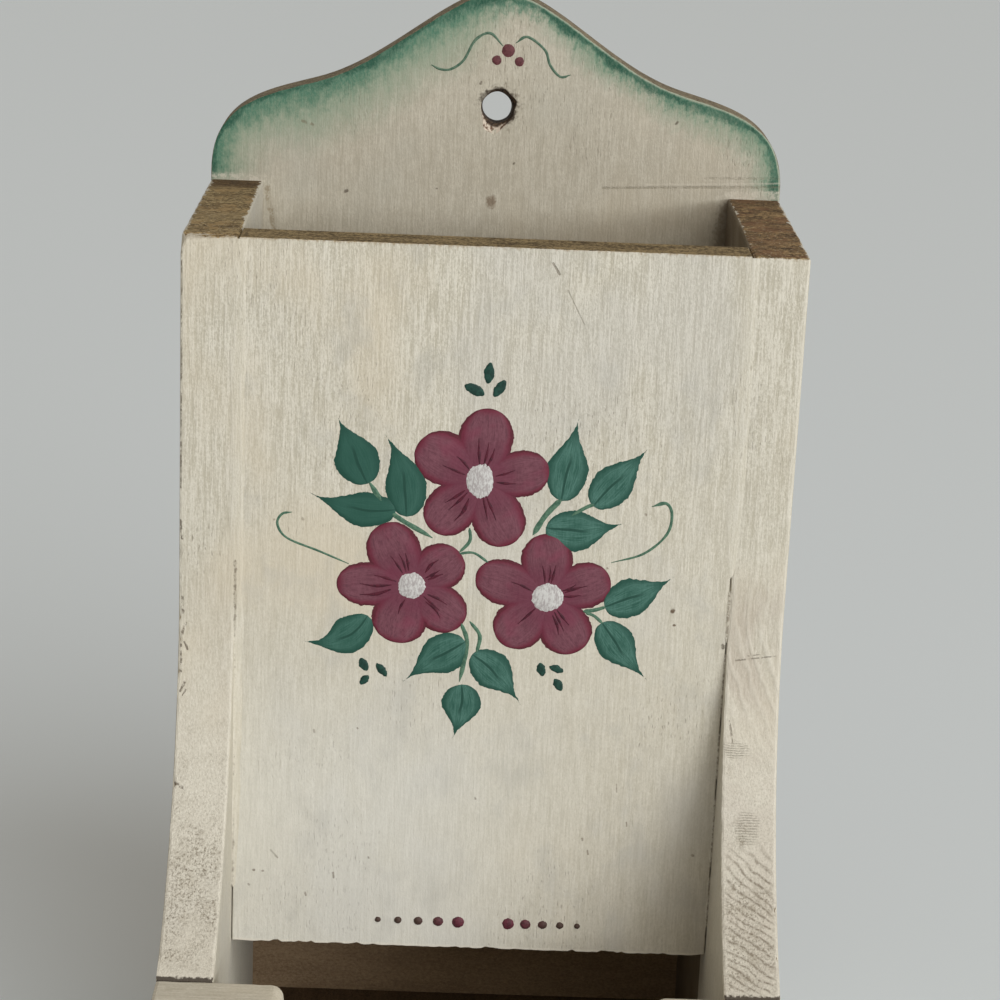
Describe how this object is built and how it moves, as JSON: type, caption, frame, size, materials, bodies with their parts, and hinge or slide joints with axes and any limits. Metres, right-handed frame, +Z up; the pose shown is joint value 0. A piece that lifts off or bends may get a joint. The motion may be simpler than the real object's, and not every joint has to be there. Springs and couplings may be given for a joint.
{
  "type": "wall-hung matchbox holder",
  "caption": "Wooden wall-hung matchbox holder: tall open-topped bay for one upright box of kitchen matches over an open tray with a finger scoop, shaped crest with a hanging hole.",
  "frame": {"origin": "on the surface it stands on, at the middle of the footprint", "axes": "+X to the right seen from the front, +Y to the wall it hangs on, +Z up"},
  "size_m": [0.098, 0.092, 0.1946],
  "materials": {
    "cream_paint": "brushed matt paint on wood",
    "bare_wood": "bare, darkened with age",
    "steel_wire": "drawn wire"
  },
  "bodies": {
    "root": {"back_board": "cream_paint", "left_side": "cream_paint", "right_side": "cream_paint", "front_panel": "cream_paint", "tray_lip": "cream_paint", "tray_floor": "bare_wood", "back_brads": "steel_wire", "panel_brads": "steel_wire", "floor_brads": "steel_wire", "lip_brads": "steel_wire"}
  },
  "joints": []
}
